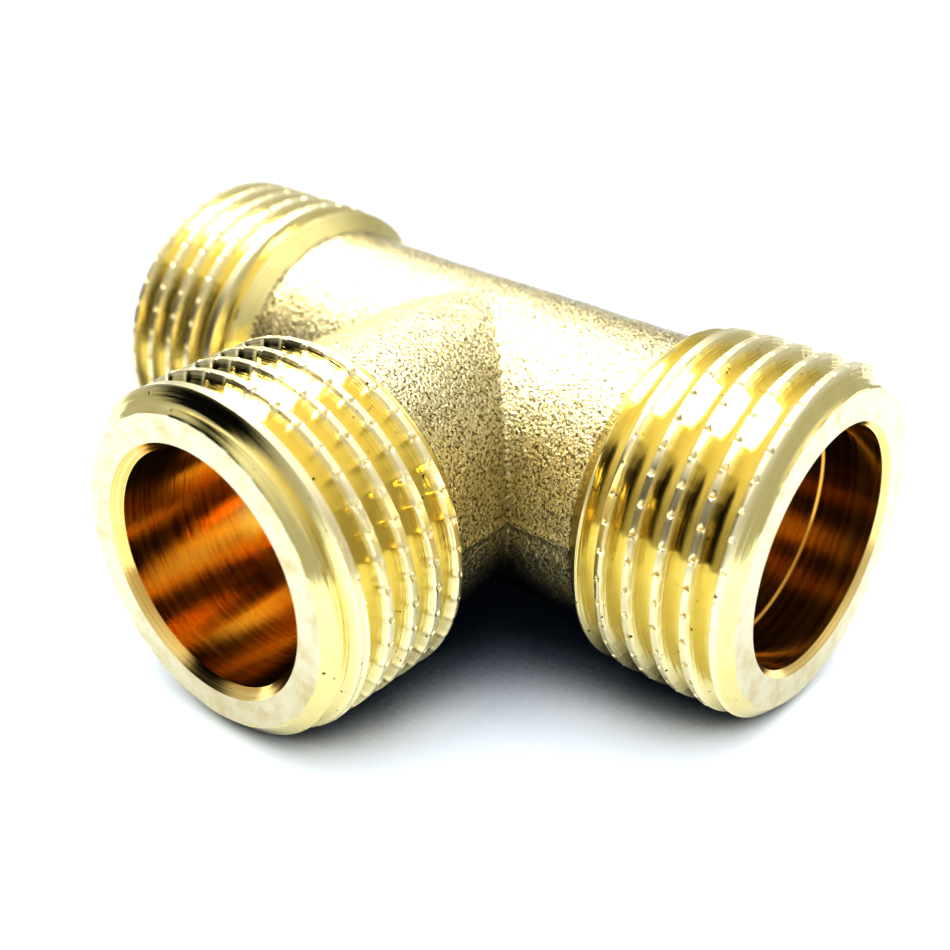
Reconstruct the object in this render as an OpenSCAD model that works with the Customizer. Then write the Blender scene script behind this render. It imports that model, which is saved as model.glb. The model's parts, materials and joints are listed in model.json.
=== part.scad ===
// Equal tee with three male pipe threads, G 1/2 on every end.
// One solid piece of hot-forged brass: the body keeps its forged skin, and the ends are turned,
// threaded, notched across the thread crests and bored through.
// The origin is where the run axis (X) meets the branch axis (-Y). The parting plane of the forging
// is the XY plane, and the tee lies on the crests of its threads with +Z up. Units: millimetres.

/* [Tee] */
// Distance from the centre of the tee to each end face of the run
run_reach = 24.2; // [22:0.1:32]
// Distance from the centre of the tee to the end face of the branch
branch_reach = 24; // [22:0.1:32]
// Outside diameter of the forged body
body_d = 18; // [17:0.1:18.4]

/* [Parting line] */
// Width of the trimmed flash that runs round the body
flash_w = 0.6; // [0.3:0.1:1]
// Height of the trimmed flash above the body
flash_h = 0.12; // [0.05:0.01:0.3]
// Radius of the flash web in the two corners between run and branch
corner_r = 1.2; // [0.5:0.1:2]

/* [Thread] */
// Outside diameter over the thread crests
thread_major_d = 20.955; // [20.8:0.005:21]
// Diameter at the bottom of the thread
thread_minor_d = 18.631; // [18.5:0.001:18.8]
// Distance between neighbouring crests
thread_pitch = 1.814; // [1.8:0.001:1.9]
// Included angle of the thread flanks
thread_angle = 55; // [50:1:60]
// Width of the flat on top of each crest
crest_flat = 0.4; // [0.3:0.05:0.45]
// Length of the thread, from the end face to the run-out slope
thread_len = 9.4; // [8:0.1:10]
// Depth behind the end faces of the run where the crests begin to fall away
run_crest_end = 8.3; // [7:0.1:9]
// Depth behind the end face of the branch where the crests reach full height
branch_crest_start = 2.3; // [1.4:0.1:3]
// How far the plain crest beyond the notches has fallen below the others
crest_drop = 0.12; // [0.05:0.01:0.3]
// Depth of the first crest behind the right end face, on the bottom line of the tee
right_start = 0.24; // [0:0.01:1.8]
// Depth of the first crest behind the left end face, on the top line of the tee
left_start = 0.9; // [0:0.01:1.8]
// Depth of the first crest behind the branch end face, on the side towards the right end
branch_start = 0.24; // [0:0.01:1.8]

/* [End faces] */
// Diameter of the flat end faces of the run
run_face_d = 18.8; // [17.6:0.1:19.2]
// Length of the lead chamfer behind the end faces of the run
run_lead = 0.9; // [0.8:0.05:1.8]
// Diameter of the flat end face of the branch
branch_face_d = 18.4; // [17.6:0.1:19.2]
// Length of the lead chamfer behind the end face of the branch
branch_lead = 1.25; // [0.8:0.05:1.8]

/* [Knurl] */
// Number of axial notches around each thread
notch_count = 40; // [24:1:48]
// Depth of each notch below the crests
notch_depth = 0.3; // [0.1:0.05:0.5]
// Width of each notch at the crests
notch_w = 0.5; // [0.2:0.05:0.8]
// Depths behind the end faces of the run between which the crests are notched
run_knurl = [0.6, 8.35]; // [0.2:0.05:10]
// Depths behind the end face of the branch between which the crests are notched
branch_knurl = [2.25, 10.5]; // [0.2:0.05:11]

/* [Waterway] */
// Diameter of the bore through the middle of the tee and out of the branch
core_bore_d = 14; // [12:0.1:14]
// Diameter of the wider bore at each mouth of the run
run_mouth_d = 14.4; // [14.2:0.1:15]
// Depth of the wider bore at each mouth of the run
run_mouth_depth = 4; // [2:0.1:8]
// Size of the chamfer at each mouth of the run
run_mouth_chamfer = 0.35; // [0.2:0.05:0.6]
// Size of the chamfer at the mouth of the branch
branch_mouth_chamfer = 0.55; // [0.2:0.05:0.6]

/* [Hidden] */

$fn = 96;

BRASS = [0.83, 0.69, 0.33];

// Overlap that keeps joined solids from sharing a face
overlap = 0.5;

body_r = body_d / 2;
thread_major_r = thread_major_d / 2;
thread_minor_r = thread_minor_d / 2;
run_out = thread_major_r - body_r;
end_len = thread_len + run_out;

// The flanks of a ridge run on past the crest flat to a sharp tip, and past the root into the core.
ridge_bury = 0.08;
flank_slope = tan(thread_angle / 2);
ridge_foot_r = thread_minor_r - ridge_bury;
ridge_tip_r = thread_major_r + crest_flat / 2 / flank_slope;
ridge_foot_half = (ridge_tip_r - ridge_foot_r) * flank_slope;
half_turns = 2 * ceil(end_len / thread_pitch);

// The lean that lifts half a turn of ridge by half the pitch
half_turn_lean = atan(thread_pitch / 4 / thread_major_r);

// Where round the axis the half turns meet, clear of the notches
joint_turn = 7.3;

// Turned outlines, as radius and height from the end face: lead chamfer, crests and run-out slope.
// The last crest of the run is a little low, and so is the first crest of the branch.
run_outline = [
    [0, 0],
    [run_face_d / 2, 0],
    [thread_major_r, -run_lead],
    [thread_major_r, -run_crest_end],
    [thread_major_r - crest_drop, -thread_len],
    [body_r, -end_len],
    [0, -end_len]
];
branch_outline = [
    [0, 0],
    [branch_face_d / 2, 0],
    [thread_major_r - crest_drop, -branch_lead],
    [thread_major_r, -branch_crest_start],
    [thread_major_r, -thread_len],
    [body_r, -end_len],
    [0, -end_len]
];

// The outside of each end: the turn that lays local Z along its axis, its reach, the depth of its
// first crest, its turned outline and the depths of its knurl
ENDS = [
    [[0, 90, 0], run_reach, right_start, run_outline, run_knurl],
    [[0, -90, 0], run_reach, left_start, run_outline, run_knurl],
    [[90, 0, 0], branch_reach, branch_start, branch_outline, branch_knurl]
];

// The modules that make or bore one end stand on local Z, with the end face at z = 0 and the body
// below it.

// The turned blank of one end, before the thread is cut
module end_blank(outline) {
    rotate_extrude()
        polygon(outline);
}

// One V notch along the thread, between two depths
module notch(knurl) {
    notch_rise = 0.3;
    tip_r = thread_major_r - notch_depth;
    out_r = thread_major_r + notch_rise;
    out_half = notch_w / 2 * (out_r - tip_r) / notch_depth;
    translate([0, 0, -knurl[1]])
        linear_extrude(knurl[1] - knurl[0])
            polygon([[tip_r, 0], [out_r, -out_half], [out_r, out_half]]);
}

// The ring of notches that the knurl leaves across the crests
module notches(knurl) {
    for (i = [0:notch_count - 1])
        rotate([0, 0, (i + 0.5) * 360 / notch_count])
            notch(knurl);
}

// Half a turn of the thread ridge: a triangle turned round the axis, leaning so that it rises by
// half the pitch. Its foot is buried in the core, and its tip stands above the crests for the
// blank to cut flat.
module ridge_half_turn() {
    rotate([0, half_turn_lean, 0])
        rotate_extrude(angle = 180)
            polygon([
                [ridge_foot_r, -ridge_foot_half],
                [ridge_foot_r, ridge_foot_half],
                [ridge_tip_r, 0]
            ]);
}

// The right-hand thread ridge of one end, whose first crest passes local X at depth start
module thread_ridge(start) {
    joint_depth = start - thread_pitch * joint_turn / 360;
    for (half = [-1:half_turns])
        translate([0, 0, -joint_depth - (half - 0.5) * thread_pitch / 2])
            rotate([0, 0, joint_turn + 180 * half])
                ridge_half_turn();
}

// One finished end before boring
module threaded_end(start, outline, knurl) {
    intersection() {
        union() {
            translate([0, 0, -end_len - overlap])
                cylinder(r = thread_minor_r, h = end_len + 2 * overlap);
            thread_ridge(start);
        }
        difference() {
            end_blank(outline);
            notches(knurl);
        }
    }
}

// The forged barrel behind one end, from its run-out to the centre of the tee
module barrel(reach) {
    translate([0, 0, -reach])
        cylinder(r = body_r, h = reach - end_len + overlap);
}

// The bore of one end of the run, with its wider mouth and a chamfer at the end face
module run_bore() {
    core_r = core_bore_d / 2;
    mouth_r = run_mouth_d / 2;
    rotate_extrude()
        polygon([
            [0, overlap],
            [mouth_r + run_mouth_chamfer + overlap, overlap],
            [mouth_r, -run_mouth_chamfer],
            [mouth_r, -run_mouth_depth],
            [core_r, -run_mouth_depth],
            [core_r, -run_reach],
            [0, -run_reach]
        ]);
}

// The bore of the branch, with a chamfer at the end face
module branch_bore() {
    core_r = core_bore_d / 2;
    rotate_extrude()
        polygon([
            [0, overlap],
            [core_r + branch_mouth_chamfer + overlap, overlap],
            [core_r, -branch_mouth_chamfer],
            [core_r, -branch_reach],
            [0, -branch_reach]
        ]);
}

// Puts a module that stands on local Z at one end of the tee
module at_end(turn, reach) {
    rotate(turn)
        translate([0, 0, reach])
            children();
}

// The trimmed flash along the parting plane, with a small web in each inner corner
module flash() {
    run_half = run_reach - end_len;
    edge = body_r + flash_h;
    web_x = body_r + corner_r;
    web_foot = body_r - overlap;
    translate([0, 0, -flash_w / 2])
        linear_extrude(flash_w)
            union() {
                translate([-run_half, -edge])
                    square([2 * run_half, 2 * edge]);
                translate([-edge, -(branch_reach - end_len)])
                    square([2 * edge, branch_reach - end_len]);
                for (side = [-1, 1])
                    polygon([
                        [side * web_foot, -web_foot],
                        [side * web_x, -body_r],
                        [side * body_r, -web_x]
                    ]);
            }
}

// The whole tee: barrels, ends and flash, bored through
module tee_body() {
    color(BRASS)
        difference() {
            union() {
                for (end = ENDS)
                    at_end(end[0], end[1]) {
                        barrel(end[1]);
                        threaded_end(end[2], end[3], end[4]);
                    }
                flash();
            }
            for (side = [-1, 1])
                at_end([0, side * 90, 0], run_reach)
                    run_bore();
            at_end([90, 0, 0], branch_reach)
                branch_bore();
        }
}

tee_body();
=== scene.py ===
"""Visual model of a forged brass tee with three male pipe threads."""
import json
import math

import bmesh
import bpy
import numpy as np
from mathutils import Matrix, Vector


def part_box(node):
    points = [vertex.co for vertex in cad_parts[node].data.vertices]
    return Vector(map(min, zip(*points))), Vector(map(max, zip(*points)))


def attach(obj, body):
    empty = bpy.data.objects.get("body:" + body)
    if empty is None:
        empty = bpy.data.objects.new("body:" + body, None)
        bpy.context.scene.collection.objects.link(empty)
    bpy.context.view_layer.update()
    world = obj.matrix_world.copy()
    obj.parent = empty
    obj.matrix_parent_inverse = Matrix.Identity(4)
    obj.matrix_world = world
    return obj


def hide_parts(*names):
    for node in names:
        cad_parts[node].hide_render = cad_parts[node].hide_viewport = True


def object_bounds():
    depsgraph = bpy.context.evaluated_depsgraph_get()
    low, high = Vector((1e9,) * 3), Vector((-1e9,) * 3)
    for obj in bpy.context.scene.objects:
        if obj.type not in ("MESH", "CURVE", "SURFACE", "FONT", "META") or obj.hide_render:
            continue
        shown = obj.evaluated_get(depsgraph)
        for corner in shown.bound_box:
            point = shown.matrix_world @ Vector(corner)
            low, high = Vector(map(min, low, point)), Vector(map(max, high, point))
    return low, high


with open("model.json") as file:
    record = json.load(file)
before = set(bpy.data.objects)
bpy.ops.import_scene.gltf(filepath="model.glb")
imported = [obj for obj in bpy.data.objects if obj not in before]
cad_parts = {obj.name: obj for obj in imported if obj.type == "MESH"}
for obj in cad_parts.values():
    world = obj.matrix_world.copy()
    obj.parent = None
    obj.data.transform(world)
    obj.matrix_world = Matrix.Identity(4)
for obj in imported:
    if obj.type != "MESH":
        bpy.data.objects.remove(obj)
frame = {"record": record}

cad_low, cad_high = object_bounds()

# ---------------------------------------------------------------- dimensions, all in millimetres
MM = 0.001

mounts = {m["name"]: m for m in frame["record"]["mounts"]}
low, high = (np.array(corner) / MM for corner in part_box("tee_body"))

RUN_REACH = high[0]
BRANCH_REACH = -low[1]
CREST_R = high[2]
CORE_BORE_R = mounts["run_bore"]["dims"]["r_mm"]
MOUTH_BORE_R = mounts["run_right_mouth"]["dims"]["r_mm"]

# Thread of 55 degrees included angle, and the body and bores behind it
PITCH = 1.814
THREAD_DEPTH = 1.162
FLANK_SLOPE = 1 / math.tan(math.radians(27.5))
CREST_HALF = 0.2
BODY_R = 9.0
BODY_BLEND = 0.06
FLASH_HEIGHT = 0.12
FLASH_HALF, FLASH_FOOT = 0.2, 0.36
THREAD_LEN = 9.4
RUN_OUT = CREST_R - BODY_R
END_LEN = THREAD_LEN + RUN_OUT
BURY = 0.5
MOUTH_DEPTH = 4.0
RUN_MOUTH_CHAMFER = 0.35
BRANCH_MOUTH_CHAMFER = 0.55

# Knurl: a pit at each notch, with a burr beside it; the plain crests beyond it are a little low
NOTCHES = 40
NOTCH_PERIOD = 2 * math.pi * CREST_R / NOTCHES
CREST_DROP = 0.12
PIT_DEPTH = 0.22
PIT_LENGTH = 0.36
PIT_WALL = 0.07
PIT_HALF_WIDTH = 0.2
BURR_HEIGHT = 0.03

# Forging skin: the grid it is drawn on, and the height and size of each layer of unevenness
SKIN_GRID = 0.16
SKIN_DROP = 0.03
SKIN_LAYERS = ((0.035, 3.1), (0.022, 0.75), (0.016, 0.33))

# Each end: the turn that lays local Z along its axis, its reach, the depth of its first crest where
# the helix passes local +X, the radius and depth of its lead chamfer, the depths between which it
# is knurled, and how far each notch pushes metal over the flank of the crest
RIGHT_TURN = Matrix.Rotation(math.radians(90), 4, "Y")
LEFT_TURN = Matrix.Rotation(math.radians(-90), 4, "Y")
BRANCH_TURN = Matrix.Rotation(math.radians(90), 4, "X")
ENDS = {
    "right": dict(turn=RIGHT_TURN, reach=RUN_REACH, start=0.24, face_r=9.4, lead=0.9,
                  knurl=(0.6, 8.3), spur=0.02),
    "left": dict(turn=LEFT_TURN, reach=RUN_REACH, start=0.9, face_r=9.4, lead=0.9,
                 knurl=(0.6, 8.3), spur=0.02),
    "branch": dict(turn=BRANCH_TURN, reach=BRANCH_REACH, start=0.24, face_r=9.2, lead=1.25,
                   knurl=(2.3, 10.5), spur=0.13),
}


# ---------------------------------------------------------------- small helpers
def smooth_step(x, start, end):
    t = np.clip((x - start) / (end - start), 0, 1)
    return t * t * (3 - 2 * t)


def smooth_min(a, b, width):
    h = np.clip(0.5 + 0.5 * (b - a) / width, 0, 1)
    return b + (a - b) * h - width * h * (1 - h)


def bell(x, width):
    return np.exp(-(x / width) ** 2)


def lattice_noise(points, cell, seed):
    """Smooth noise from -1 to 1 on a cubic lattice with this cell size."""
    size = 64
    table = np.random.default_rng(seed).uniform(-1, 1, (size, size, size))
    p = points / cell
    base = np.floor(p).astype(int)
    f = p - base
    f = f * f * (3 - 2 * f)
    total = np.zeros(len(points))
    for corner in np.ndindex(2, 2, 2):
        c = np.array(corner)
        weight = np.prod(np.where(c, f, 1 - f), axis=1)
        i, j, k = ((base + c) % size).T
        total += weight * table[i, j, k]
    return total


def mesh_from(name, verts_mm, faces):
    mesh = bpy.data.meshes.new(name)
    mesh.from_pydata([tuple(v) for v in verts_mm * MM], [], faces)
    mesh.update()
    return mesh


def solid_object(name, verts_mm, faces):
    """A closed object with doubled points merged and its faces turned outwards."""
    same_place = 1e-4 * MM
    mesh = mesh_from(name, verts_mm, faces)
    bm = bmesh.new()
    bm.from_mesh(mesh)
    bmesh.ops.remove_doubles(bm, verts=bm.verts, dist=same_place)
    bmesh.ops.dissolve_degenerate(bm, edges=bm.edges, dist=same_place)
    bmesh.ops.recalc_face_normals(bm, faces=bm.faces)
    bm.to_mesh(mesh)
    bm.free()
    thing = bpy.data.objects.new(name, mesh)
    bpy.context.scene.collection.objects.link(thing)
    return thing


def evaluated_mesh(thing):
    """A new mesh with the object's modifiers applied."""
    graph = bpy.context.evaluated_depsgraph_get()
    return bpy.data.meshes.new_from_object(thing.evaluated_get(graph), depsgraph=graph)


def combine(target, tool, operation):
    """Booleans tool on to target, and removes tool."""
    cut = target.modifiers.new("combine", "BOOLEAN")
    cut.object = tool
    cut.operation = operation
    cut.solver = "MANIFOLD"
    result = evaluated_mesh(target)
    target.modifiers.remove(cut)
    old = target.data
    target.data = result
    bpy.data.meshes.remove(old)
    bpy.data.objects.remove(tool)


# ---------------------------------------------------------------- threaded ends
def crest_lines():
    """Offsets along the axis from a crest to the grid lines of one pitch."""
    half = [0.0, 0.06, 0.12, 0.17, CREST_HALF, 0.26, 0.34, 0.44, 0.56, 0.68, 0.8]
    return np.array([-PITCH / 2] + [-h for h in half[:0:-1]] + half)


def notch_columns():
    """Angles of the grid columns, closer together at each notch."""
    places = np.array([-0.5, -0.4, -0.31, -0.24, -0.19, -0.14, -0.09, -0.045,
                       0.0, 0.045, 0.09, 0.13, 0.18, 0.24, 0.31, 0.4])
    angles = (np.arange(NOTCHES)[:, None] + places[None, :]) * 2 * math.pi / NOTCHES
    return np.append(angles.ravel(), angles[0, 0] + 2 * math.pi)


def end_surface(end, seed):
    """Radius and depth of the outside of one end, on a grid whose rows follow the helix."""
    angles = notch_columns()
    lines = crest_lines()
    first, last = -2, int(END_LEN / PITCH) + 3
    crests = np.repeat(np.arange(first, last), len(lines))
    offset = np.tile(lines, last - first)[:, None]
    turn = angles / (2 * math.pi)
    depth = end["start"] + crests[:, None] * PITCH + offset - PITCH * turn[None, :]

    # every notch on the helix gets its own small differences
    rng = np.random.default_rng(seed)
    serials = 997
    notch_index = np.floor(turn * NOTCHES + 0.5).astype(int)
    serial = (notch_index[None, :] - (crests - first)[:, None] * NOTCHES) % serials
    varied = rng.uniform(-1, 1, (5, serials))
    size_vary, place_vary, front_vary, back_vary, shift_vary = (v[serial] for v in varied)
    along = ((turn * NOTCHES - notch_index) * NOTCH_PERIOD)[None, :] + 0.05 * place_vary

    # thread form, with the metal that the knurl pushes over the flanks
    knurl_start, knurl_end = end["knurl"]
    knurled = smooth_step(depth, knurl_start - 0.2, knurl_start)
    knurled = knurled * (1 - smooth_step(depth, knurl_end - 0.4, knurl_end))
    front = end["spur"] * (1 + 0.4 * front_vary)
    back = 0.4 * end["spur"] * (1 + 0.4 * back_vary)
    spur = np.where(offset < 0, front, back) * bell(along - 0.05, 0.22) * knurled
    flank = np.maximum(np.abs(offset) - CREST_HALF, 0)
    high = np.clip(1 - flank * FLANK_SLOPE / 0.8, 0, 1)
    beyond = np.maximum(flank - spur * high, 0)
    drop = smooth_min(beyond * FLANK_SLOPE, np.full_like(depth, THREAD_DEPTH), 0.4)
    drop = np.maximum(drop, 0)
    # the plain crest beyond the notches is a little low
    crest = CREST_R - BURR_HEIGHT
    radius = np.minimum(crest - drop, crest - CREST_DROP * (1 - knurled))
    # burr thrown up beside each notch
    burr = bell(along - 0.14, 0.08) * bell(offset - 0.1, 0.12) * knurled
    radius = radius + BURR_HEIGHT * burr

    # the pit of each notch: a small pyramid, steep on one side and running out on the other
    side = np.maximum(-along / PIT_LENGTH, along / PIT_WALL)
    off_centre = np.abs(offset - 0.04 * shift_vary) / PIT_HALF_WIDTH
    pit = np.clip(1 - side - 0.75 * off_centre, 0, 1)
    radius = radius - PIT_DEPTH * (1 + 0.35 * size_vary) * pit * knurled

    # lead chamfer, and run-out slope down to the forged body
    face_r, lead = end["face_r"], end["lead"]
    radius = smooth_min(radius, face_r + (CREST_R - face_r) * depth / lead, 0.06)
    radius = smooth_min(radius, CREST_R - (depth - THREAD_LEN), 0.1)
    radius = np.clip(radius, BODY_R - 0.6, CREST_R)
    depth = np.clip(depth, 0, END_LEN + BURY)
    radius = np.where(depth <= 0, np.minimum(radius, face_r), radius)
    return angles, depth, radius


def make_end(name, end, seed):
    """The closed solid of one end, standing on local Z with its face at zero."""
    angles, depth, radius = end_surface(end, seed)
    rows, columns = depth.shape
    x = radius * np.cos(angles)[None, :]
    y = radius * np.sin(angles)[None, :]
    verts = np.stack([x, y, -depth], axis=-1).reshape(-1, 3)
    index = np.arange(rows * columns).reshape(rows, columns)
    a, b = index[:-1, :-1].ravel(), index[:-1, 1:].ravel()
    c, d = index[1:, 1:].ravel(), index[1:, :-1].ravel()
    faces = np.stack([a, b, c, d], axis=1).tolist()
    front = [(0, 0, 0)]
    back = [(0, 0, -(END_LEN + BURY))]
    verts = np.vstack([verts, front, back])
    front_i, back_i = rows * columns, rows * columns + 1
    for i in range(columns - 1):
        faces.append([int(index[0, i]), int(index[0, i + 1]), front_i])
        faces.append([int(index[-1, i + 1]), int(index[-1, i]), back_i])
    return solid_object(name, verts, faces)


def place(thing, turn, reach):
    """Moves a mesh that stands on local Z to its end of the tee."""
    thing.data.transform(turn @ Matrix.Translation((0, 0, reach * MM)))
    thing.data.update()


# ---------------------------------------------------------------- forged body
def body_distance(p):
    """Signed distance to the forged body: two barrels, the blend between them and the flash."""
    x, y, z = p.T
    flash = 1 - smooth_step(np.abs(z), FLASH_HALF, FLASH_FOOT)
    run = np.hypot(y, z) - BODY_R
    branch = np.maximum(np.hypot(x, z) - BODY_R, y)
    inner = np.maximum(BODY_BLEND - run, 0) ** 2 + np.maximum(BODY_BLEND - branch, 0) ** 2
    union = np.maximum(BODY_BLEND, np.minimum(run, branch)) - np.sqrt(inner)
    return union - FLASH_HEIGHT * flash


def body_gradient(p):
    """Unit direction away from the forged body."""
    step = 0.02
    grad = np.empty_like(p)
    for axis in range(3):
        shift = np.zeros(3)
        shift[axis] = step
        grad[:, axis] = body_distance(p + shift) - body_distance(p - shift)
    return grad / np.maximum(np.linalg.norm(grad, axis=1, keepdims=True), 1e-9)


def make_barrel(name, turn, back, front):
    """A plain closed cylinder along one axis, from back to front."""
    steps = 64
    ring = np.arange(steps) * 2 * math.pi / steps
    circle = np.stack([BODY_R * np.cos(ring), BODY_R * np.sin(ring)], axis=1)
    verts = np.array([(cx, cy, z) for z in (back, front) for cx, cy in circle])
    faces = [[i, (i + 1) % steps, steps + (i + 1) % steps, steps + i] for i in range(steps)]
    faces.append(list(range(steps))[::-1])
    faces.append(list(range(steps, 2 * steps)))
    barrel = solid_object(name, verts, faces)
    barrel.data.transform(turn)
    return barrel


def make_body():
    """The forged body: two barrels on an even grid, drawn to the true surface and roughened."""
    tuck = 0.8
    run_half = RUN_REACH - END_LEN + tuck
    branch_end = BRANCH_REACH - END_LEN + tuck
    body = make_barrel("forged_body", RIGHT_TURN, -run_half, run_half)
    combine(body, make_barrel("barrel", BRANCH_TURN, 0, branch_end), "UNION")
    remesh = body.modifiers.new("even grid", "REMESH")
    remesh.mode = "VOXEL"
    remesh.voxel_size = SKIN_GRID * MM
    even = evaluated_mesh(body)
    body.modifiers.clear()
    body.data = even
    points = np.empty(len(even.vertices) * 3)
    even.vertices.foreach_get("co", points)
    points = points.reshape(-1, 3) / MM
    # only the skin is drawn to the true surface; the flat ends stay inside the threaded ends
    skin = (np.abs(points[:, 0]) < run_half - 0.2) & (points[:, 1] > -branch_end + 0.2)
    surface = points[skin]
    steps_to_surface = 6
    for _ in range(steps_to_surface):
        surface = surface - body_gradient(surface) * body_distance(surface)[:, None]
    normal = body_gradient(surface)
    rough = np.full(len(surface), -SKIN_DROP)
    for seed, (height, cell) in enumerate(SKIN_LAYERS, start=11):
        rough += height * lattice_noise(surface, cell, seed)
    points[skin] = surface + normal * rough[:, None]
    even.vertices.foreach_set("co", (points * MM).ravel())
    even.update()
    return body


# ---------------------------------------------------------------- waterways
def make_bore(name, profile):
    """A closed turned tool from radius and height pairs, mouth end first."""
    steps = 160
    ring = np.arange(steps) * 2 * math.pi / steps
    verts = np.array([(r * math.cos(t), r * math.sin(t), z) for r, z in profile for t in ring])
    faces = []
    for k in range(len(profile) - 1):
        for i in range(steps):
            j = (i + 1) % steps
            faces.append([k * steps + i, k * steps + j, (k + 1) * steps + j, (k + 1) * steps + i])
    faces.append(list(range(steps)))
    last = (len(profile) - 1) * steps
    faces.append([last + i for i in range(steps)][::-1])
    return solid_object(name, verts, faces)


def mouth_profile(mouth_r, chamfer):
    """The mouth of a bore: a cone through the end face down to the bore."""
    lip = 0.5
    return [
        (mouth_r + chamfer + lip, lip),
        (mouth_r + chamfer, 0.0),
        (mouth_r, -chamfer),
    ]


def run_bore_profile():
    step = [(MOUTH_BORE_R, -MOUTH_DEPTH), (CORE_BORE_R, -MOUTH_DEPTH - 0.1)]
    return mouth_profile(MOUTH_BORE_R, RUN_MOUTH_CHAMFER) + step + [(CORE_BORE_R, -RUN_REACH)]


def branch_bore_profile():
    return mouth_profile(CORE_BORE_R, BRANCH_MOUTH_CHAMFER) + [(CORE_BORE_R, -BRANCH_REACH)]


def make_tee():
    """The body and the three threaded ends in one solid, with the bores cut through."""
    tee = make_body()
    for seed, (name, end) in enumerate(ENDS.items()):
        threaded = make_end(name, end, 100 + seed)
        place(threaded, end["turn"], end["reach"])
        combine(tee, threaded, "UNION")
    for name, end in ENDS.items():
        profile = branch_bore_profile() if name == "branch" else run_bore_profile()
        bore = make_bore(name + "_bore", profile)
        place(bore, end["turn"], end["reach"])
        combine(tee, bore, "DIFFERENCE")
    tee.data.shade_smooth()
    tee.data.set_sharp_from_angle(angle=math.radians(32))
    tee.name = "brass_tee"
    tee.data.name = "brass_tee"
    return tee


# ---------------------------------------------------------------- regions and lathe coordinates
FORGED, THREAD, FACE, BORE = range(4)


def read_vectors(items, field):
    data = np.empty(len(items) * 3)
    items.foreach_get(field, data)
    return data.reshape(-1, 3)


def mark_regions(mesh):
    """Gives each face its material, and each corner its place on the lathe: radius, arc, depth."""
    centre = read_vectors(mesh.polygons, "center") / MM
    normal = read_vectors(mesh.polygons, "normal")
    points = read_vectors(mesh.vertices, "co") / MM
    region = np.full(len(centre), FORGED)
    lathe_end = np.zeros(len(centre), int)
    frames = []
    for number, end in enumerate(ENDS.values()):
        reach = end["reach"]
        axes = np.array(end["turn"].to_3x3())
        frames.append((axes, reach))
        local = centre @ axes
        facing = normal @ axes
        depth = reach - local[:, 2]
        radius = np.hypot(local[:, 0], local[:, 1])
        outward = (local[:, :2] * facing[:, :2]).sum(axis=1) / np.maximum(radius, 1e-6)
        at_end = (depth > -0.01) & (depth < reach)
        turned = at_end & (depth < END_LEN - 0.15) & (radius > BODY_R - 0.4)
        inside = at_end & (radius < MOUTH_BORE_R + RUN_MOUTH_CHAMFER + 0.01) & (outward < 0.3)
        flat = at_end & (depth < 0.01) & (facing[:, 2] > 0.9)
        for mask, kind in ((turned, THREAD), (inside, BORE), (flat, FACE)):
            region[mask] = kind
            lathe_end[mask] = number
    mesh.polygons.foreach_set("material_index", region.astype(np.int32))

    totals = np.empty(len(centre), int)
    mesh.polygons.foreach_get("loop_total", totals)
    corner_end = np.repeat(lathe_end, totals)
    corner_vertex = np.empty(len(mesh.loops), int)
    mesh.loops.foreach_get("vertex_index", corner_vertex)
    corner = points[corner_vertex]
    middle = np.repeat(centre, totals, axis=0)
    lathe = np.empty((len(corner), 3))
    for number, (axes, reach) in enumerate(frames):
        mine = corner_end == number
        local = corner[mine] @ axes
        mid = middle[mine] @ axes
        angle = np.arctan2(local[:, 1], local[:, 0])
        mid_angle = np.arctan2(mid[:, 1], mid[:, 0])
        angle = mid_angle + np.remainder(angle - mid_angle + math.pi, 2 * math.pi) - math.pi
        radius = np.hypot(local[:, 0], local[:, 1])
        lathe[mine] = np.stack([radius, angle * CREST_R, reach - local[:, 2] + 40 * number], axis=1)
    layer = mesh.attributes.new("lathe", "FLOAT_VECTOR", "CORNER")
    layer.data.foreach_set("vector", lathe.ravel())


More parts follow.
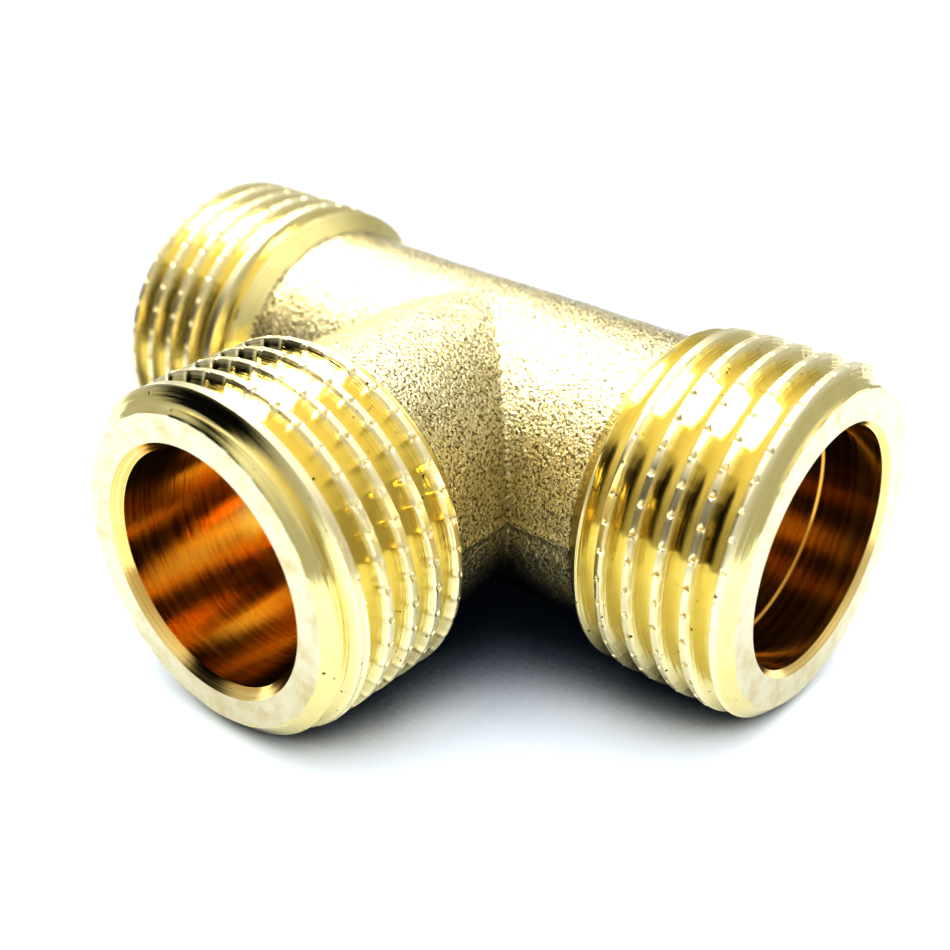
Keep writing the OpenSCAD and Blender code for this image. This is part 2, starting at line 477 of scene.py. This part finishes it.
# ---------------------------------------------------------------- shader building
class Shader:
    """A material's node tree with short calls for the nodes used here."""

    def __init__(self, name):
        self.material = bpy.data.materials.new(name)
        self.material.use_nodes = True
        self.tree = self.material.node_tree
        self.surface = self.tree.nodes["Principled BSDF"]
        self.surface.inputs["Metallic"].default_value = 1

    def node(self, kind, **settings):
        made = self.tree.nodes.new(kind)
        for key, value in settings.items():
            setattr(made, key, value)
        return made

    def feed(self, socket, value):
        if isinstance(value, bpy.types.NodeSocket):
            self.tree.links.new(value, socket)
        else:
            socket.default_value = value

    def position(self):
        return self.node("ShaderNodeTexCoord").outputs["Object"]

    def lathe(self):
        return self.node("ShaderNodeAttribute", attribute_name="lathe").outputs["Vector"]

    def scaled(self, vector, factors):
        made = self.node("ShaderNodeVectorMath", operation="MULTIPLY")
        self.feed(made.inputs[0], vector)
        self.feed(made.inputs[1], factors)
        return made.outputs[0]

    def part(self, vector, letter):
        made = self.node("ShaderNodeSeparateXYZ")
        self.feed(made.inputs[0], vector)
        return made.outputs[letter]

    def noise(self, vector, detail=2.0, rough=0.5, distortion=0.0):
        made = self.node("ShaderNodeTexNoise")
        self.feed(made.inputs["Vector"], vector)
        made.inputs["Scale"].default_value = 1
        made.inputs["Detail"].default_value = detail
        made.inputs["Roughness"].default_value = rough
        made.inputs["Distortion"].default_value = distortion
        return made.outputs["Fac"]

    def cells(self, vector):
        made = self.node("ShaderNodeTexVoronoi")
        self.feed(made.inputs["Vector"], vector)
        made.inputs["Scale"].default_value = 1
        return made.outputs["Distance"]

    def openness(self, reach_mm):
        """1 in the open, and less where other surfaces stand within reach."""
        made = self.node("ShaderNodeAmbientOcclusion")
        made.inputs["Distance"].default_value = reach_mm * MM
        return made.outputs["AO"]

    def math(self, operation, a, b=0.0, c=0.0, clamp=False):
        made = self.node("ShaderNodeMath", operation=operation, use_clamp=clamp)
        for socket, value in zip(made.inputs, (a, b, c)):
            self.feed(socket, value)
        return made.outputs[0]

    def ramp(self, value, start, end, low=0.0, high=1.0):
        made = self.node("ShaderNodeMapRange", interpolation_type="SMOOTHSTEP")
        for key, item in (("Value", value), ("From Min", start), ("From Max", end),
                          ("To Min", low), ("To Max", high)):
            self.feed(made.inputs[key], item)
        return made.outputs[0]

    def mix(self, factor, first, second):
        made = self.node("ShaderNodeMix", data_type="RGBA")
        colours = [s for s in made.inputs if s.type == "RGBA"]
        self.feed(made.inputs[0], factor)
        self.feed(colours[0], first)
        self.feed(colours[1], second)
        return next(s for s in made.outputs if s.type == "RGBA")

    def bump(self, height, distance_mm, strength=1.0, under=None):
        made = self.node("ShaderNodeBump")
        made.inputs["Strength"].default_value = strength
        made.inputs["Distance"].default_value = distance_mm * MM
        self.feed(made.inputs["Height"], height)
        if under is not None:
            self.feed(made.inputs["Normal"], under)
        return made.outputs[0]

    def finish(self, colour, roughness, normal):
        self.feed(self.surface.inputs["Base Color"], colour)
        self.feed(self.surface.inputs["Roughness"], roughness)
        self.feed(self.surface.inputs["Normal"], normal)
        return self.material


def mm_scale(per_mm):
    """Scale for a texture in metres that should repeat this many times in a millimetre."""
    return (per_mm / MM,) * 3


# ---------------------------------------------------------------- materials
def forged_brass():
    """Shot-blasted forging skin: pale, dull and grainy, with dark specks between the grains."""
    s = Shader("forged brass")
    place_m = s.position()
    grain = s.noise(s.scaled(place_m, mm_scale(5.5)), 3, 0.65)
    dents = s.cells(s.scaled(place_m, mm_scale(4.5)))
    patch = s.noise(s.scaled(place_m, mm_scale(0.22)), 3, 0.55)
    speck = s.ramp(grain, 0.5, 0.38)
    pale = s.mix(patch, (0.61, 0.5, 0.24, 1), (0.72, 0.65, 0.43, 1))
    colour = s.mix(s.math("MULTIPLY", speck, 0.9), pale, (0.12, 0.09, 0.02, 1))
    # painted shade: the body's colour goes to near black in its corners and creases, where other
    # surfaces stand close
    colour = s.mix(s.ramp(s.openness(14), 0.15, 0.55), (0.035, 0.025, 0.01, 1), colour)
    roughness = s.ramp(grain, 0.3, 0.7, 0.34, 0.2)
    height = s.math("ADD", grain, s.math("MULTIPLY", dents, 0.5))
    normal = s.bump(height, 0.085, 1.0)
    return s.finish(colour, roughness, normal)


def turned_normal(s, lines_per_mm, depth_mm):
    """Fine marks of the turning tool, running round the axis."""
    tracks = s.noise(s.scaled(s.lathe(), (lines_per_mm, 0.03, lines_per_mm)), 3, 0.6)
    return tracks, s.bump(tracks, depth_mm, 0.8)


def thread_brass():
    """Bright cut thread: clean yellow flanks with tool lines, and dark specks of dirt scattered over it.
    """
    s = Shader("thread brass")
    tracks, normal = turned_normal(s, 5.5, 0.03)
    place_m = s.position()
    cloud = s.noise(s.scaled(place_m, mm_scale(0.5)), 3, 0.6)
    radius = s.part(s.lathe(), "X")
    # the crests are painted paler than the flanks: a painted highlight
    crest = s.ramp(radius, CREST_R - 0.5, CREST_R - 0.05)
    flank = s.mix(cloud, (0.77, 0.64, 0.27, 1), (0.86, 0.76, 0.4, 1))
    colour = s.mix(crest, flank, (0.92, 0.82, 0.52, 1))
    speck = s.ramp(s.noise(s.scaled(place_m, mm_scale(2.2)), 2, 0.5), 0.29, 0.23)
    colour = s.mix(speck, colour, (0.08, 0.05, 0.02, 1))
    wear = s.math("MULTIPLY", crest, 0.2)
    roughness = s.math("ADD", s.ramp(tracks, 0.3, 0.7, 0.07, 0.15), wear)
    return s.finish(colour, roughness, normal)


def face_brass():
    """Flat end faces: pale, with the rings of the facing cut."""
    s = Shader("face brass")
    tracks, normal = turned_normal(s, 6.0, 0.012)
    stain = s.noise(s.scaled(s.position(), mm_scale(0.7)), 4, 0.65)
    colour = s.mix(s.ramp(stain, 0.4, 0.75), (0.76, 0.69, 0.48, 1), (0.66, 0.54, 0.29, 1))
    roughness = s.ramp(tracks, 0.3, 0.7, 0.26, 0.4)
    return s.finish(colour, roughness, normal)


def bore_brass():
    """Drilled and reamed waterway: deep amber, with spiral tool lines."""
    s = Shader("bore brass")
    tracks, normal = turned_normal(s, 3.6, 0.016)
    colour = s.mix(s.ramp(tracks, 0.35, 0.65), (0.88, 0.6, 0.21, 1), (0.96, 0.74, 0.32, 1))
    roughness = s.ramp(tracks, 0.3, 0.7, 0.12, 0.22)
    return s.finish(colour, roughness, normal)


# ---------------------------------------------------------------- studio
# camera and floor, in metres unless named otherwise
CAMERA_SPOT = Vector((51.439, -62.441, 42.043)) * MM
CAMERA_AZIMUTH, CAMERA_ELEVATION, CAMERA_ROLL = (math.radians(a) for a in (40.03, 29.77, 0.49))
LENS_MM = 53.444
BLUR_STOP = 38
FLOOR_R = 0.17
# brightness of the tent at its foot and overhead, and how much brighter the paper sees it
TENT_LOW, TENT_HIGH = 0.62, 1.3
TENT_COLOUR = (0.97, 1.0, 1.06, 1)
SHADOW_COLOUR = (0.85, 0.93, 1.05, 1)
FLOOR_LIFT = 1.65
OPENING_LEVEL = 0.01
# painted shadow on the paper: its colour darkens to blue-black where the tee closes it in
CONTACT_REACH = 0.02
PAINTED_PAPER_SHADOW = ((0.12, (0.03, 0.055, 0.09, 1)), (0.36, (0.93, 0.93, 0.93, 1)))


def make_floor():
    """A round sheet of white paper under the tee."""
    steps = 96
    ring = [2 * math.pi * i / steps for i in range(steps)]
    verts = [(FLOOR_R * math.cos(t), FLOOR_R * math.sin(t), cad_low[2]) for t in ring]
    mesh = bpy.data.meshes.new("floor")
    mesh.from_pydata(verts, [], [list(range(steps))])
    floor = bpy.data.objects.new("floor", mesh)
    bpy.context.scene.collection.objects.link(floor)
    paper = bpy.data.materials.new("paper with painted shadow")
    paper.use_nodes = True
    nodes, links = paper.node_tree.nodes, paper.node_tree.links
    surface = nodes["Principled BSDF"]
    surface.inputs["Roughness"].default_value = 0.9
    surface.inputs["Specular IOR Level"].default_value = 0.1
    # painted shadow: the paper's colour goes from blue-black where the tee closes it in to white in the
    # open
    closeness = nodes.new("ShaderNodeAmbientOcclusion")
    closeness.inputs["Distance"].default_value = CONTACT_REACH
    shade = nodes.new("ShaderNodeValToRGB")
    shade.color_ramp.interpolation = "EASE"
    for stop, (place_at, colour) in zip(shade.color_ramp.elements, PAINTED_PAPER_SHADOW):
        stop.position = place_at
        stop.color = colour
    links.new(closeness.outputs["AO"], shade.inputs[0])
    links.new(shade.outputs["Color"], surface.inputs["Base Color"])
    mesh.materials.append(paper)


def make_world():
    """A white tent, brightest overhead, with a dark opening on the camera's left.

    The camera itself sees plain white, and the paper is lit as if there were no opening.
    """
    world = bpy.data.worlds.new("studio")
    world.use_nodes = True
    bpy.context.scene.world = world
    tree = world.node_tree
    nodes, links = tree.nodes, tree.links

    def ramp(value, start, end, low=0.0, high=1.0):
        made = nodes.new("ShaderNodeMapRange")
        made.interpolation_type = "SMOOTHSTEP"
        links.new(value, made.inputs["Value"])
        for key, number in (("From Min", start), ("From Max", end), ("To Min", low), ("To Max", high)):
            made.inputs[key].default_value = number
        return made.outputs[0]

    def combine_values(operation, first, second):
        made = nodes.new("ShaderNodeMath")
        made.operation = operation
        for socket, value in zip(made.inputs, (first, second)):
            if isinstance(value, bpy.types.NodeSocket):
                links.new(value, socket)
            else:
                socket.default_value = value
        return made.outputs[0]

    direction = nodes.new("ShaderNodeSeparateXYZ")
    links.new(nodes.new("ShaderNodeTexCoord").outputs["Generated"], direction.inputs[0])
    along, across, height = (direction.outputs[letter] for letter in "XYZ")
    tent = ramp(height, 0.3, 0.95, TENT_LOW, TENT_HIGH)
    ray = nodes.new("ShaderNodeLightPath").outputs
    opening = combine_values("MULTIPLY", ramp(across, -0.44, -0.58), ramp(height, 0.76, 0.66))
    opening = combine_values("MULTIPLY", opening, ramp(along, -0.15, -0.4))
    opening = combine_values("MULTIPLY", opening, combine_values("SUBTRACT", 1.0, ray["Is Diffuse Ray"]))
    lit = combine_values("MULTIPLY", tent, combine_values("SUBTRACT", 1.0, opening))
    level = combine_values("ADD", lit, OPENING_LEVEL)
    floor_lift = combine_values("MULTIPLY", ray["Is Diffuse Ray"], FLOOR_LIFT - 1)
    level = combine_values("MULTIPLY", level, combine_values("ADD", floor_lift, 1.0))
    seen = combine_values("MULTIPLY", ray["Is Camera Ray"], 1.5)
    strength = combine_values("MAXIMUM", level, seen)
    tint = nodes.new("ShaderNodeMix")
    tint.data_type = "RGBA"
    colours = [socket for socket in tint.inputs if socket.type == "RGBA"]
    links.new(ray["Is Diffuse Ray"], tint.inputs[0])
    colours[0].default_value = TENT_COLOUR
    colours[1].default_value = SHADOW_COLOUR
    background = nodes["Background"]
    links.new(next(o for o in tint.outputs if o.type == "RGBA"), background.inputs["Color"])
    links.new(strength, background.inputs["Strength"])


def make_light(name, spot, aim, size, watts):
    """A soft box that shows in the metal only; the tent lights the paper."""
    data = bpy.data.lights.new(name, "AREA")
    data.shape = "DISK"
    data.size = size
    data.energy = watts
    lamp = bpy.data.objects.new(name, data)
    bpy.context.scene.collection.objects.link(lamp)
    lamp.location = spot
    lamp.visible_diffuse = False
    lamp.rotation_euler = (Vector(aim) - Vector(spot)).to_track_quat("-Z", "Y").to_euler()


def make_camera():
    data = bpy.data.cameras.new("camera")
    data.sensor_width = 36
    data.lens = LENS_MM
    camera = bpy.data.objects.new("camera", data)
    bpy.context.scene.collection.objects.link(camera)
    camera.location = CAMERA_SPOT
    az, el = CAMERA_AZIMUTH, CAMERA_ELEVATION
    forward = Vector((-math.sin(az) * math.cos(el), math.cos(az) * math.cos(el), -math.sin(el)))
    level = forward.to_track_quat("-Z", "Y").to_matrix()
    camera.rotation_euler = (level @ Matrix.Rotation(CAMERA_ROLL, 3, "Z")).to_euler()
    data.clip_start, data.clip_end = 0.001, 20
    bpy.context.scene.camera = camera
    # sharp on the near side of the tee, soft on the far end
    sharp = bpy.data.objects.new("sharp_point", None)
    bpy.context.scene.collection.objects.link(sharp)
    sharp.location = Vector((9, -12, 4)) * MM
    data.dof.use_dof = True
    data.dof.focus_object = sharp
    data.dof.aperture_fstop = BLUR_STOP


# ---------------------------------------------------------------- scene
tee = make_tee()
tee.data.materials.clear()
for material in (forged_brass(), thread_brass(), face_brass(), bore_brass()):
    tee.data.materials.append(material)
mark_regions(tee.data)
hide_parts("tee_body")
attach(tee, "root")

make_floor()
make_world()
make_light("top_soft_box", (-0.25, 0.1, 0.42), (0, 0, 0), 0.3, 3.4)
make_camera()
bpy.context.scene.view_settings.view_transform = "Standard"
bpy.context.scene.view_settings.look = "High Contrast"
bpy.context.scene.view_settings.exposure = -0.3
bpy.context.scene.view_settings.gamma = 0.9

print("tee faces", len(tee.data.polygons), "verts", len(tee.data.vertices))
